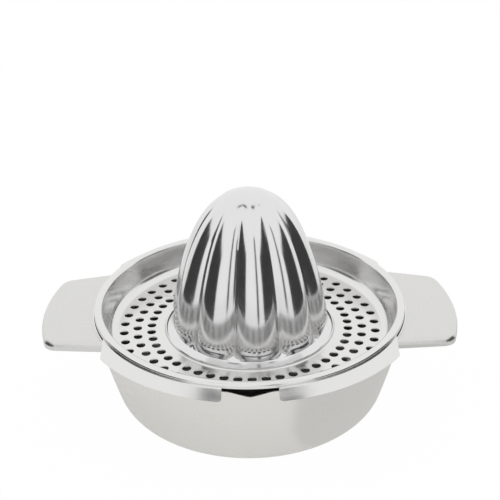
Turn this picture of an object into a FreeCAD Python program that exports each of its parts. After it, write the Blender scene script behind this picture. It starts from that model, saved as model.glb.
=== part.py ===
import FreeCAD, Part
import math
import os

import Sketcher

# A two-part hand citrus juicer in pressed stainless sheet. A round-shouldered
# bowl with a pouring lip and two flat side handles stands on the table. A
# perforated strainer with a fluted reamer dome rests on the bowl's rim and
# lifts straight off.
#
# Frame: millimetres, +Z up, origin on the table under the bowl's centre. The
# handles lie along X and the pouring lip faces -Y.

SIZES = {
    # bowl
    "sheet_gauge": 0.6,
    "bowl_rim_radius": 88.9,
    "bowl_height": 56.3,
    "bowl_wall_curve": 490.0,
    "bowl_wall_foot_radius": 77.6,
    "bowl_wall_foot_height": 10.4,
    "bowl_shoulder_curve": 14.5,
    "bowl_base_radius": 63.7,
    "lip_half_width": 10.0,
    "lip_depth": 2.8,
    "lip_curve": 3.0,
    # handles
    "handle_gauge": 0.8,
    "handle_root_drop": 0.8,
    "handle_droop": 3.0,
    "handle_inner_reach": 12.0,
    "handle_side_reach": 22.7,
    "handle_inner_half_width": 41.6,
    "handle_tip_half_width": 36.2,
    "handle_tip_curve": 105.0,
    "handle_corner_curve": 9.0,
    "handle_lip_depth": 5.0,
    "handle_edge_curve": 3.2,
    "tab_top_drop": 0.2,
    "tab_length": 10.3,
    "tab_sweep": 42.0,
    # strainer
    "plate_drop": 13.8,
    "collar_radius": 48.4,
    "collar_height": 1.4,
    "collar_curve": 0.9,
    "dish_inset": 13.6,
    "dish_curve": 6.2,
    "wall_lean": 10.0,
    "wall_top_rise": 2.5,
    "bead_inner_curve": 1.9,
    "land_slope": 6.0,
    "land_width": 1.6,
    "bead_outer_curve": 1.2,
    "bead_drop": 1.0,
    "crease_curve": 0.6,
    "skirt_slope": 21.6,
    "skirt_run": 7.7,
    "trim_inset": 0.3,
    "handle_trim_half_width": 36.4,
    "handle_trim_curve": 5.0,
    "lip_trim_half_width": 14.4,
    "lip_trim_curve": 2.0,
    "trim_overshoot": 0.15,
    "trim_clearance": 12.0,
    "bead_foot_drop": 0.2,
    "hole_radius": 2.0,
    "inner_ring_share": 0.305,
    "inner_ring_count": 47,
    "inner_ring_phase": 2.9,
    "middle_ring_share": 0.602,
    "middle_ring_count": 43,
    "middle_ring_phase": 6.2,
    "outer_ring_share": 0.885,
    "outer_ring_count": 45,
    "outer_ring_phase": 1.9,
    # reamer
    "reamer_base_radius": 45.75,
    "reamer_height": 84.1,
    "reamer_crown_power": 1.454,
    "reamer_flank_power": 2.44,
    "reamer_rib_count": 10,
    "reamer_rib_phase": 24.0,
    "reamer_valley_ratio": 0.885,
    "reamer_foot_radius": 47.4,
    "reamer_foot_rise": 0.6,
    "reamer_foot_flare": 1.8,
    "reamer_toe_start": 2.4,
    "reamer_toe_end": 12.0,
    "reamer_cap_drop": 1.6,
    "reamer_crown_share": 0.15,
    "reamer_flange_radius": 52.0,
}

# How many steps the reamer's foot, toes and flank are drawn in.
REAMER_FLARE_STEPS = 4
REAMER_TOE_STEPS = 6
REAMER_FLANK_STEPS = 9

# Places closer than this, in millimetres, count as the same place.
NEAR = 0.01

DEGREE = " * 1deg)"
PLATE_HEIGHT = "(sizes.bowl_height - sizes.plate_drop)"
DISH_EDGE = "(sizes.bowl_rim_radius - sizes.dish_inset)"
WALL_TOP = "(sizes.bowl_height + sizes.wall_top_rise)"
HANDLE_ROOT = "(sizes.bowl_height - sizes.handle_root_drop)"
TAB_TOP = "(sizes.bowl_height - sizes.handle_root_drop - sizes.tab_top_drop)"
TAB_FOOT = "(sizes.bowl_height - sizes.handle_root_drop - sizes.tab_top_drop - sizes.tab_length)"


def make_sheet(document):
    """Put every driving dimension in a spreadsheet cell with its own alias."""
    sheet = document.addObject("Spreadsheet::Sheet", "sizes")
    for row, (alias, size) in enumerate(SIZES.items(), start=1):
        sheet.set("A%d" % row, alias)
        sheet.set("B%d" % row, str(size))
        sheet.setAlias("B%d" % row, alias)
    document.recompute()
    return sheet


def number(sheet, expression):
    """Value of an expression on the sheet's cells."""
    return float(sheet.evalExpression(expression))


def cell(alias):
    """Expression that reads one cell."""
    return "sizes." + alias


def tie_point(sketch, sheet, edge, end, corner):
    """Hold one end of an edge at a corner given as two expressions."""
    for kind, axis, expression in (("DistanceX", -2, corner[0]), ("DistanceY", -1, corner[1])):
        size = number(sheet, expression)
        if abs(size) < 1e-9:
            sketch.addConstraint(Sketcher.Constraint("PointOnObject", edge, end, axis))
            continue
        if size > 0.0:
            rule = Sketcher.Constraint(kind, -1, 1, edge, end, size)
            bound = expression
        else:
            rule = Sketcher.Constraint(kind, edge, end, -1, 1, -size)
            bound = "-(%s)" % expression
        index = sketch.addConstraint(rule)
        sketch.setExpression("Constraints[%d]" % index, bound)


def draw_chain(sketch, sheet, corners, bends, closed):
    """Draw lines and arcs from corner to corner.

    Each corner is a pair of expressions. bends gives, for the run that starts
    at a corner, the expression of its radius and the side of its centre:
    +1 to the left of the run, -1 to the right.
    """
    spots = [FreeCAD.Vector(number(sheet, a), number(sheet, b), 0.0) for a, b in corners]
    count = len(spots) if closed else len(spots) - 1
    ends = []
    for run in range(count):
        start = spots[run]
        stop = spots[(run + 1) % len(spots)]
        if run not in bends:
            edge = sketch.addGeometry(Part.LineSegment(start, stop), False)
            ends.append((edge, 1, 2))
            continue
        radius_expression, side = bends[run]
        radius = number(sheet, radius_expression)
        chord = stop - start
        left = FreeCAD.Vector(-chord.y, chord.x, 0.0).normalize()
        rise = math.sqrt(radius ** 2 - (chord.Length / 2.0) ** 2)
        centre = (start + stop) * 0.5 + left * (rise * side)
        first, last = (start, stop) if side > 0 else (stop, start)
        angles = [math.atan2(spot.y - centre.y, spot.x - centre.x) for spot in (first, last)]
        circle = Part.Circle(centre, FreeCAD.Vector(0, 0, 1), radius)
        edge = sketch.addGeometry(Part.ArcOfCircle(circle, angles[0], angles[1]), False)
        index = sketch.addConstraint(Sketcher.Constraint("Radius", edge, radius))
        sketch.setExpression("Constraints[%d]" % index, radius_expression)
        ends.append((edge, 1, 2) if side > 0 else (edge, 2, 1))
    for run in range(count):
        edge, head, tail = ends[run]
        tie_point(sketch, sheet, edge, head, corners[run])
        if run + 1 < count:
            after, after_head, _ = ends[run + 1]
            sketch.addConstraint(Sketcher.Constraint("Coincident", edge, tail, after, after_head))
    last_edge, _, last_tail = ends[-1]
    if closed:
        first_edge, first_head, _ = ends[0]
        rule = Sketcher.Constraint("Coincident", last_edge, last_tail, first_edge, first_head)
        sketch.addConstraint(rule)
    else:
        tie_point(sketch, sheet, last_edge, last_tail, corners[-1])


def origin_plane(body, role):
    """One of the body's own origin planes."""
    return [feature for feature in body.Origin.OriginFeatures if feature.Role == role][0]


def body_sketch(body, name, role):
    """Empty sketch on one of the body's origin planes."""
    sketch = body.newObject("Sketcher::SketchObject", name)
    sketch.AttachmentSupport = [(origin_plane(body, role), "")]
    sketch.MapMode = "FlatFace"
    return sketch


def section_sketch(document, sheet, name, corners, bends, closed):
    """Free sketch of a half section, radius across and height up."""
    sketch = document.addObject("Sketcher::SketchObject", name)
    sketch.Placement.Rotation = FreeCAD.Rotation(FreeCAD.Vector(1, 0, 0), 90.0)
    draw_chain(sketch, sheet, corners, bends, closed)
    return sketch


def turned(document, name, source):
    """Solid of revolution of a half section about the upright axis."""
    turning = document.addObject("Part::Revolution", name)
    turning.Source = source
    turning.Axis = (0, 0, 1)
    turning.Base = (0, 0, 0)
    turning.Angle = 360.0
    turning.Solid = True
    return turning


def turned_sheet(document, sheet, name, corners, bends, offset):
    """Pressed sheet of revolution from the open outline of its visible side."""
    outline = section_sketch(document, sheet, name + "_outline", corners, bends, False)
    strip = document.addObject("Part::Offset2D", name + "_strip")
    strip.Source = outline
    strip.Mode = "Skin"
    strip.Join = "Arc"
    strip.Fill = True
    strip.setExpression("Value", offset)
    return turned(document, name + "_turned", strip)


def bowl_outline():
    """Outside of the bowl, from the centre of its base up to its rim."""
    corners = [
        ("0", "0"),
        (cell("bowl_base_radius"), "0"),
        (cell("bowl_wall_foot_radius"), cell("bowl_wall_foot_height")),
        (cell("bowl_rim_radius"), cell("bowl_height")),
    ]
    bends = {
        1: (cell("bowl_shoulder_curve"), 1),
        2: (cell("bowl_wall_curve"), 1),
    }
    return corners, bends


def make_bowl(document, sheet):
    """Bowl with a V-shaped pouring lip cut in its rim at the front."""
    corners, bends = bowl_outline()
    shell = turned_sheet(document, sheet, "bowl", corners, bends, cell("sheet_gauge"))
    body = document.addObject("PartDesign::Body", "bowl_body")
    body.BaseFeature = shell
    sketch = body_sketch(body, "bowl_lip_sketch", "XZ_Plane")
    top = cell("bowl_height") + " + " + cell("lip_depth")
    wide = "2 * " + cell("lip_half_width")
    corners = [
        ("-(%s)" % wide, top),
        ("0", cell("bowl_height") + " - " + cell("lip_depth")),
        (wide, top),
    ]
    draw_chain(sketch, sheet, corners, {}, True)
    document.recompute()
    before = body.Shape.Volume
    pocket = body.newObject("PartDesign::Pocket", "bowl_lip")
    pocket.Profile = sketch
    pocket.setExpression("Length", cell("bowl_rim_radius") + " + " + cell("lip_half_width"))
    pocket.Reversed = True
    document.recompute()
    check_cut(before, body, "bowl_lip")
    gauge = number(sheet, cell("sheet_gauge"))
    middle_front = [
        "Edge%d" % (index + 1)
        for index, edge in enumerate(pocket.Shape.Edges)
        if abs(edge.CenterOfMass.x) < NEAR
        and edge.CenterOfMass.y < 0.0
        and edge.Length < 2.0 * gauge
    ]
    rounding = body.newObject("PartDesign::Fillet", "bowl_lip_rounding")
    rounding.Base = (pocket, middle_front)
    rounding.setExpression("Radius", cell("lip_curve"))
    body.Tip = rounding
    body.Label = "bowl"
    return body


def make_bowl_envelope(document, sheet):
    """Solid inside of the bowl's outer face, which the handles are cut to fit."""
    corners, bends = bowl_outline()
    clear_height = cell("bowl_height") + " + " + cell("handle_lip_depth")
    corners.append((cell("bowl_rim_radius"), clear_height))
    corners.append(("0", clear_height))
    section = section_sketch(document, sheet, "bowl_envelope_section", corners, bends, True)
    return turned(document, "bowl_envelope", section)


def make_handle_tray(document, sheet, name):
    """Handle plate with its edge turned down, laid flat at the root's height."""
    body = document.addObject("PartDesign::Body", name + "_tray")
    sketch = body_sketch(body, name + "_plan", "XY_Plane")
    inner = "-" + cell("handle_inner_reach")
    outer = cell("handle_side_reach")
    inner_half = cell("handle_inner_half_width")
    tip_half = cell("handle_tip_half_width")
    corners = [
        (inner, "-" + inner_half),
        (outer, "-" + tip_half),
        (outer, tip_half),
        (inner, inner_half),
    ]
    draw_chain(sketch, sheet, corners, {1: (cell("handle_tip_curve"), 1)}, True)
    pad = body.newObject("PartDesign::Pad", name + "_pad")
    pad.Profile = sketch
    pad.setExpression("Length", cell("handle_lip_depth"))
    pad.Reversed = True
    document.recompute()
    tip_corners = [
        "Edge%d" % (index + 1)
        for index, edge in enumerate(pad.Shape.Edges)
        if abs(edge.tangentAt(edge.FirstParameter).z) > 0.99 and edge.CenterOfMass.x > 0.0
    ]
    corner = body.newObject("PartDesign::Fillet", name + "_corners")
    corner.Base = (pad, tip_corners)
    corner.setExpression("Radius", cell("handle_corner_curve"))
    document.recompute()
    inner_edge = -number(sheet, cell("handle_inner_reach"))
    lip_depth = number(sheet, cell("handle_lip_depth"))
    top_edges = [
        "Edge%d" % (index + 1)
        for index, edge in enumerate(corner.Shape.Edges)
        if abs(edge.CenterOfMass.z) < NEAR and edge.CenterOfMass.x > inner_edge + NEAR
    ]
    bend = body.newObject("PartDesign::Fillet", name + "_bend")
    bend.Base = (corner, top_edges)
    bend.setExpression("Radius", cell("handle_edge_curve"))
    document.recompute()
    open_faces = [
        "Face%d" % (index + 1)
        for index, face in enumerate(bend.Shape.Faces)
        if abs(face.CenterOfMass.z + lip_depth) < NEAR
        or abs(face.CenterOfMass.x - inner_edge) < NEAR
    ]
    hollow = body.newObject("PartDesign::Thickness", name + "_hollow")
    hollow.Base = (bend, open_faces)
    hollow.setExpression("Value", cell("handle_gauge"))
    hollow.Reversed = True
    body.Tip = hollow
    body.setExpression("Placement.Base.x", cell("bowl_rim_radius"))
    body.setExpression("Placement.Base.z", HANDLE_ROOT)
    droop = number(sheet, cell("handle_droop"))
    body.Placement.Rotation = FreeCAD.Rotation(FreeCAD.Vector(0, 1, 0), droop)
    return body


def make_handle_tab(document, sheet, name):
    """Weld tab that hugs the bowl's wall under the handle."""
    wall_rise = "(%s - %s)" % (cell("bowl_height"), cell("bowl_wall_foot_height"))
    wall_run = "(%s - %s)" % (cell("bowl_rim_radius"), cell("bowl_wall_foot_radius"))
    share = "((%s - %s) / %s)" % (TAB_FOOT, cell("bowl_wall_foot_height"), wall_rise)
    bulge = "((%s ^ 2 + %s ^ 2) / (2 * %s))" % (wall_rise, wall_run, cell("bowl_wall_curve"))
    foot_radius = "(%s + %s * %s + %s * %s * (1 - %s))" % (
        cell("bowl_wall_foot_radius"), wall_run, share, bulge, share, share)
    gauge = cell("handle_gauge")
    corners = [
        (foot_radius + " - " + gauge, TAB_FOOT),
        (foot_radius + " + " + gauge, TAB_FOOT),
        (cell("bowl_rim_radius") + " + " + gauge, TAB_TOP),
        (cell("bowl_rim_radius") + " - " + gauge, TAB_TOP),
    ]
    body = document.addObject("PartDesign::Body", name + "_tab")
    sketch = body_sketch(body, name + "_tab_section", "XZ_Plane")
    draw_chain(sketch, sheet, corners, {}, True)
    turning = body.newObject("PartDesign::Revolution", name + "_tab_turned")
    turning.Profile = sketch
    turning.ReferenceAxis = (sketch, ["V_Axis"])
    turning.Midplane = True
    turning.setExpression("Angle", cell("tab_sweep"))
    return body


def make_handle(document, sheet, name, heading, envelope):
    """Pressed handle, trimmed to the bowl's wall and turned to its side."""
    tray = make_handle_tray(document, sheet, name)
    tab = make_handle_tab(document, sheet, name)
    joined = document.addObject("Part::Fuse", name + "_joined")
    joined.Base = tray
    joined.Tool = tab
    handle = document.addObject("Part::Cut", name)
    handle.Base = joined
    handle.Tool = envelope
    handle.Placement = FreeCAD.Placement(
        FreeCAD.Vector(0, 0, 0), FreeCAD.Rotation(FreeCAD.Vector(0, 0, 1), heading)
    )
    handle.Label = name
    return handle


def strainer_outline():
    """Upper side of the strainer, from its collar out to the skirt's edge."""
    sine_lean = "sin(" + cell("wall_lean") + DEGREE
    cosine_lean = "cos(" + cell("wall_lean") + DEGREE
    tangent_lean = "tan(" + cell("wall_lean") + DEGREE
    sine_land = "sin(" + cell("land_slope") + DEGREE
    cosine_land = "cos(" + cell("land_slope") + DEGREE
    sine_skirt = "sin(" + cell("skirt_slope") + DEGREE
    cosine_skirt = "cos(" + cell("skirt_slope") + DEGREE

    def shift(base, size, factor):
        return "%s + %s * %s" % (base, cell(size), factor)

    plate = PLATE_HEIGHT
    wall_foot = (
        shift(DISH_EDGE, "dish_curve", cosine_lean),
        shift(plate, "dish_curve", "(1 - %s)" % sine_lean),
    )
    wall_rise = "(%s - (%s))" % (WALL_TOP, wall_foot[1])
    wall_top = (
        "%s + %s * %s" % (wall_foot[0], wall_rise, tangent_lean),
        WALL_TOP,
    )
    land_start = (
        shift(wall_top[0], "bead_inner_curve", "(%s + %s)" % (cosine_lean, sine_land)),
        shift(wall_top[1], "bead_inner_curve", "(%s - %s)" % (cosine_land, sine_lean)),
    )
    land_end = (
        shift(land_start[0], "land_width", cosine_land),
        shift(land_start[1], "land_width", "(-%s)" % sine_land),
    )
    drop_start = (
        shift(land_end[0], "bead_outer_curve", "(1 - %s)" % sine_land),
        shift(land_end[1], "bead_outer_curve", "(-%s)" % cosine_land),
    )
    drop_end = (
        drop_start[0],
        shift(drop_start[1], "bead_drop", "(-1)"),
    )
    skirt_start = (
        shift(drop_end[0], "crease_curve", "(1 - %s)" % sine_skirt),
        shift(drop_end[1], "crease_curve", "(-%s)" % cosine_skirt),
    )
    skirt_end = (
        shift(skirt_start[0], "skirt_run", cosine_skirt),
        shift(skirt_start[1], "skirt_run", "(-%s)" % sine_skirt),
    )
    corners = [
        (cell("collar_radius"), shift(plate, "collar_height", "1")),
        (cell("collar_radius"), shift(plate, "collar_curve", "1")),
        (shift(cell("collar_radius"), "collar_curve", "1"), plate),
        (DISH_EDGE, plate),
        wall_foot,
        wall_top,
        land_start,
        land_end,
        drop_start,
        drop_end,
        skirt_start,
        skirt_end,
    ]
    bends = {
        1: (cell("collar_curve"), 1),
        3: (cell("dish_curve"), 1),
        5: (cell("bead_inner_curve"), -1),
        7: (cell("bead_outer_curve"), -1),
        9: (cell("crease_curve"), 1),
    }
    return corners, bends


def cut_upwards(document, body, sketch, name, height=None):
    """Cut a plan sketch straight up through the body, or up to a height."""
    document.recompute()
    before = body.Shape.Volume
    pocket = body.newObject("PartDesign::Pocket", name)
    pocket.Profile = sketch
    pocket.Reversed = True
    if height is None:
        pocket.Type = "ThroughAll"
    else:
        pocket.setExpression("Length", height)
    document.recompute()
    check_cut(before, body, name)
    return pocket


def cut_hole_ring(document, sheet, body, ring):
    """Punch one ring of holes through the strainer's plate."""
    sketch = body_sketch(body, ring + "_hole_sketch", "XY_Plane")
    turn = "(" + cell(ring + "_phase") + DEGREE
    reach = "(%s + (%s - %s) * %s)" % (
        cell("collar_radius"), DISH_EDGE, cell("collar_radius"), cell(ring + "_share"))
    spot = [reach + " * " + way + turn for way in ("cos", "sin")]
    centre = FreeCAD.Vector(number(sheet, spot[0]), number(sheet, spot[1]), 0.0)
    radius = number(sheet, cell("hole_radius"))
    circle = Part.Circle(centre, FreeCAD.Vector(0, 0, 1), radius)
    edge = sketch.addGeometry(circle, False)
    index = sketch.addConstraint(Sketcher.Constraint("Radius", edge, radius))
    sketch.setExpression("Constraints[%d]" % index, cell("hole_radius"))
    tie_point(sketch, sheet, edge, 3, spot)
    hole = cut_upwards(document, body, sketch, ring + "_hole")
    pattern = body.newObject("PartDesign::PolarPattern", ring + "_pattern")
    pattern.Originals = [hole]
    pattern.Axis = (sketch, ["N_Axis"])
    pattern.Angle = 360.0
    pattern.setExpression("Occurrences", cell(ring + "_count"))
    body.Tip = pattern
    document.recompute()


def bead_inside():
    """Radius, inside the bead's wall, that the skirt is trimmed back to."""
    return "(%s - %s - %s)" % (
        strainer_outline()[0][9][0], cell("sheet_gauge"), cell("trim_inset"))


def rounded_corner(across, curve):
    """Where a rounded outer corner of the skirt leaves its side and meets the edge.

    across is the distance of the rounding's centre from the middle of the cut.
    Gives the distance of that centre along the cut, and the meeting point.
    """
    edge = "(%s + %s)" % (strainer_outline()[0][-1][0], cell("trim_overshoot"))
    along = "sqrt((%s - %s) ^ 2 - %s ^ 2)" % (edge, curve, across)
    scale = "(%s / (%s - %s))" % (edge, edge, curve)
    return along, ["(%s * %s)" % (reach, scale) for reach in (across, along)]


def trim_skirt(document, sheet, body, name, corners, curve, turn):
    """Cut the skirt back to the bead inside a plan outline with rounded corners.

    The outline's second and sixth runs round the skirt's corners and its last
    run follows the bead; turn is +1 where their centres lie to the left.
    """
    bead_foot = "%s - %s" % (strainer_outline()[0][9][1], cell("bead_foot_drop"))
    sketch = body_sketch(body, name + "_sketch", "XY_Plane")
    bends = {1: (curve, turn), 5: (curve, turn), 7: (bead_inside(), turn)}
    draw_chain(sketch, sheet, corners, bends, True)
    return cut_upwards(document, body, sketch, name, bead_foot)


def trim_at_lip(document, sheet, body):
    """Cut the skirt away over the bowl's pouring lip."""
    half = cell("lip_trim_half_width")
    curve = cell("lip_trim_curve")
    near = "-sqrt(%s ^ 2 - %s ^ 2)" % (bead_inside(), half)
    far = "-(%s + %s)" % (bead_inside(), cell("trim_clearance"))
    along, (meet_x, meet_y) = rounded_corner("(%s + %s)" % (half, curve), curve)
    corners = [
        ("-" + half, near),
        ("-" + half, "-" + along),
        ("-" + meet_x, "-" + meet_y),
        ("-" + meet_x, far),
        (meet_x, far),
        (meet_x, "-" + meet_y),
        (half, "-" + along),
        (half, near),
    ]
    return trim_skirt(document, sheet, body, "lip_trim", corners, curve, -1)


def trim_at_handle(document, sheet, body, name, side):
    """Cut the skirt away beyond a straight chord beside one handle."""
    sign = "" if side > 0 else "-"
    half = cell("handle_trim_half_width")
    curve = cell("handle_trim_curve")
    reach = "sqrt(%s ^ 2 - %s ^ 2)" % (bead_inside(), half)
    far = "(%s + %s)" % (bead_inside(), cell("trim_clearance"))
    along, (meet_x, meet_y) = rounded_corner("(%s - %s)" % (reach, curve), curve)
    corners = [
        (sign + reach, "-" + half),
        (sign + reach, "-" + along),
        (sign + meet_x, "-" + meet_y),
        (sign + far, "-" + meet_y),
        (sign + far, meet_y),
        (sign + meet_x, meet_y),
        (sign + reach, along),
        (sign + reach, half),
    ]
    return trim_skirt(document, sheet, body, name, corners, curve, -side)


def make_strainer(document, sheet):
    """Perforated dish with a rim land and a skirt cut at the handles and the lip."""
    corners, bends = strainer_outline()
    shell = turned_sheet(document, sheet, "strainer", corners, bends, "-" + cell("sheet_gauge"))
    body = document.addObject("PartDesign::Body", "strainer_body")
    body.BaseFeature = shell
    for ring in ("inner_ring", "middle_ring", "outer_ring"):
        cut_hole_ring(document, sheet, body, ring)
    trim_at_lip(document, sheet, body)
    trim_at_handle(document, sheet, body, "left_trim", -1)
    body.Tip = trim_at_handle(document, sheet, body, "right_trim", 1)
    body.Label = "strainer"
    return body


class ReamerForm:
    """Outer form of the fluted dome, from the sheet's sizes."""

    def __init__(self, sheet):
        self.sheet = sheet
        self.ribs = int(self.size("reamer_rib_count"))

    def size(self, alias):
        """One size read from the sheet."""
        return number(self.sheet, cell(alias))

    def plate(self):
        """Height of the strainer's plate."""
        return number(self.sheet, PLATE_HEIGHT)

    def cap_rise(self):
        """Rise at which the closing cap starts, just under the dome's top."""
        return self.size("reamer_height") - self.size("reamer_cap_drop")

    def dome(self, rise):
        """Radius of the smooth dome that the ribs' crests lie on."""
        share = rise / self.size("reamer_height")
        left = 1.0 - share ** self.size("reamer_crown_power")
        return self.size("reamer_base_radius") * left ** (1.0 / self.size("reamer_flank_power"))

    def valley(self, rise):
        """Radius of the valleys between ribs, flared out into the foot."""
        foot = self.size("reamer_foot_rise")
        ratio = self.size("reamer_valley_ratio")
        cap = self.cap_rise()
        crown = self.size("reamer_crown_share")
        near_cap = max(0.0, (rise / cap - 1.0 + crown) / crown)
        ratio = ratio + (1.0 - ratio) * near_cap ** 2
        flare = self.size("reamer_foot_radius") - ratio * self.dome(foot)
        fade = math.exp(-(rise - foot) / self.size("reamer_foot_flare"))
        return ratio * self.dome(rise) + flare * fade

    def crest(self, rise):
        """Radius of the ribs' crests, with a rounded toe on the foot."""
        start = self.size("reamer_toe_start")
        end = self.size("reamer_toe_end")
        share = min(max((rise - start) / (end - start), 0.0), 1.0)
        rounding = math.sqrt(1.0 - (1.0 - share) ** 2)
        valley = self.valley(rise)
        return valley + (self.dome(rise) - valley) * rounding

    def toe_levels(self):
        """Rises of the cross-sections that turn the ribs' rounded toes."""
        start = self.size("reamer_toe_start")
        end = self.size("reamer_toe_end")
        turns = [math.pi / 2.0 * step / REAMER_TOE_STEPS for step in range(REAMER_TOE_STEPS + 1)]
        return [end - (end - start) * math.cos(turn) for turn in turns]

    def flank_levels(self):
        """Rises of the cross-sections above the toes, closest at the crown."""
        end = self.size("reamer_toe_end")
        cap = self.cap_rise()
        steps = range(REAMER_FLANK_STEPS + 1)
        turns = [math.pi / 2.0 * step / REAMER_FLANK_STEPS for step in steps]
        return [end + (cap - end) * math.sin(turn) for turn in turns]

    def section(self, rise, inset):
        """Closed wire of one cross-section, one arc to each rib."""
        height = self.plate() + rise
        valley = self.valley(rise) - inset
        crest = self.crest(rise) - inset
        pitch = 2.0 * math.pi / self.ribs
        phase = math.radians(self.size("reamer_rib_phase"))
        arcs = []
        for rib in range(self.ribs):
            middle = phase + rib * pitch
            angles = (middle - pitch / 2.0, middle, middle + pitch / 2.0)
            radii = (valley, crest, valley)
            spots = [
                FreeCAD.Vector(radius * math.cos(angle), radius * math.sin(angle), height)
                for radius, angle in zip(radii, angles)
            ]
            arcs.append(Part.Arc(*spots).toShape())
        return Part.Wire(arcs)

    def cap(self, inset):
        """Solid dome cap that closes the top of the loft."""
        radius = self.dome(self.cap_rise()) - inset
        rise = self.size("reamer_height") - self.cap_rise()
        ball = (radius ** 2 + rise ** 2) / (2.0 * rise)
        base = self.plate() + self.cap_rise()
        sphere = Part.makeSphere(ball, FreeCAD.Vector(0, 0, base + rise - ball))
        keep = Part.makeCylinder(radius, rise + 1.0, FreeCAD.Vector(0, 0, base))
        return sphere.common(keep)

    def flare(self, inset):
        """Solid foot, curving in from its edge up to the ribs' toes."""
        plate = self.plate()
        foot = self.size("reamer_foot_rise")
        start = self.size("reamer_toe_start")
        rises = [foot + (start - foot) * step / REAMER_FLARE_STEPS
                 for step in range(REAMER_FLARE_STEPS + 1)]
        spots = [FreeCAD.Vector(self.valley(rise) - inset, 0, plate + rise) for rise in rises]
        curve = Part.BSplineCurve()
        curve.interpolate(spots)
        low = FreeCAD.Vector(0, 0, spots[0].z)
        high = FreeCAD.Vector(0, 0, spots[-1].z)
        edges = [
            curve.toShape(),
            Part.makeLine(spots[-1], high),
            Part.makeLine(high, low),
            Part.makeLine(low, spots[0]),
        ]
        face = Part.Face(Part.Wire(edges))
        return face.revolve(FreeCAD.Vector(0, 0, 0), FreeCAD.Vector(0, 0, 1), 360.0)

    def solid(self, inset):
        """Solid dome, drawn in by an inset all over."""
        toes = Part.makeLoft([self.section(rise, inset) for rise in self.toe_levels()], True)
        flank = Part.makeLoft([self.section(rise, inset) for rise in self.flank_levels()], True)
        whole = self.flare(inset).multiFuse([toes, flank, self.cap(inset)])
        whole.translate(FreeCAD.Vector(0, 0, -inset))
        return whole.removeSplitter()


def make_reamer(document, sheet):
    """Hollow fluted dome with a flat flange under the strainer's plate."""
    form = ReamerForm(sheet)
    gauge = form.size("sheet_gauge")
    plate = form.plate()
    foot = form.size("reamer_foot_radius")
    base = plate + form.size("reamer_foot_rise")
    low = FreeCAD.Vector(0, 0, plate - 2.0 * gauge)
    neck = Part.makeCylinder(foot, base - low.z, low)
    bore = Part.makeCylinder(foot - gauge, base - gauge - low.z, low)
    flange = Part.makeCylinder(form.size("reamer_flange_radius"), gauge, low)
    outside = form.solid(0.0).multiFuse([neck, flange])
    inside = form.solid(gauge).fuse(bore)
    reamer = document.addObject("Part::Feature", "reamer")
    reamer.Shape = outside.cut(inside).removeSplitter()
    reamer.Placement = FreeCAD.Placement()
    reamer.Label = "reamer"
    return reamer


def check_cut(before, body, name):
    """Stop when a cut took nothing away."""
    if body.Shape.Volume > before - 1e-6:
        raise RuntimeError("the cut %s removes nothing" % name)


def check_document(document, nodes):
    """Stop when any object has failed or any sub-part's shape is unsound."""
    for thing in document.Objects:
        if "Invalid" in thing.State or "Error" in thing.State:
            raise RuntimeError("%s is in state %s" % (thing.Name, thing.State))
    for node in nodes:
        shape = node.Shape
        if shape.isNull() or not shape.isValid() or not shape.Solids:
            raise RuntimeError("the shape of %s is unsound" % node.Label)


def main():
    """Build every sub-part and write each to its own file."""
    document = FreeCAD.newDocument("juicer")
    sheet = make_sheet(document)
    envelope = make_bowl_envelope(document, sheet)
    nodes = [
        make_bowl(document, sheet),
        make_handle(document, sheet, "handle_right", 0.0, envelope),
        make_handle(document, sheet, "handle_left", 180.0, envelope),
        make_strainer(document, sheet),
        make_reamer(document, sheet),
    ]
    document.recompute()
    check_document(document, nodes)
    os.makedirs("parts", exist_ok=True)
    for node in nodes:
        node.Shape.exportStep("parts/%s.step" % node.Label)
        box = node.Shape.BoundBox
        print("%-13s solids %d volume %8.1f box %6.1f %6.1f %6.1f to %6.1f %6.1f %6.1f" % (
            node.Label, len(node.Shape.Solids), node.Shape.Volume,
            box.XMin, box.YMin, box.ZMin, box.XMax, box.YMax, box.ZMax))


main()
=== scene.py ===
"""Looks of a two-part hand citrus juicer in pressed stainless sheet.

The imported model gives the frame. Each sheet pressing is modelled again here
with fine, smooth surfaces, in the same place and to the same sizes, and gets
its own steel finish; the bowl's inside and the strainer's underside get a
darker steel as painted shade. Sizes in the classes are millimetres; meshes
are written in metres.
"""
from __future__ import annotations

import logging
import math
from dataclasses import dataclass
from enum import Enum
from typing import Callable, Sequence

import bmesh
import bpy
from mathutils import Matrix, Vector

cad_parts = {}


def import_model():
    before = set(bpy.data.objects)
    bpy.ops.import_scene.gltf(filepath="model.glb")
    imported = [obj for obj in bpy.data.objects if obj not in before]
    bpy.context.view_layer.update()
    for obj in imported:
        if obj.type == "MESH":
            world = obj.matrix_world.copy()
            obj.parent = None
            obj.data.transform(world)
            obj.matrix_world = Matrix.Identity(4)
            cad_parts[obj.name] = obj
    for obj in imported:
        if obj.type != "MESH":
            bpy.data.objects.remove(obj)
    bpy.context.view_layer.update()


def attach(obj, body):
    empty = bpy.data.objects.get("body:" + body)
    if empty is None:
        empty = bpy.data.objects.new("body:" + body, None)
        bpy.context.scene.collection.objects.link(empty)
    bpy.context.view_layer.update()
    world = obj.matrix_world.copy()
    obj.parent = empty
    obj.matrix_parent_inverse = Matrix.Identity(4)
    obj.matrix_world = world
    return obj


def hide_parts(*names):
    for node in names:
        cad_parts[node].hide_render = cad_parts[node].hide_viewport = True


MM = 0.001
LOG = logging.getLogger("juicer")

Point = tuple[float, float]
Place = tuple[float, float, float]

# Limits in millimetres and shares of a unit normal
MERGE_DISTANCE = 1e-4
SAME_PLACE = 0.01
FACES_UP = 0.5
FACES_OUT = 0.3

# Noise of the finishes
CLOUD_SCALE = 38.0
CLOUD_DETAIL = 4.0
MARK_DETAIL = 1.0
MARK_LOW = 0.7
MARK_HIGH = 1.3
STRAIGHT_STRETCH = 0.03
ROUND_STRETCH = 0.012
WAVE_SCALE = 22.0
WAVE_DETAIL = 1.0


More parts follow.
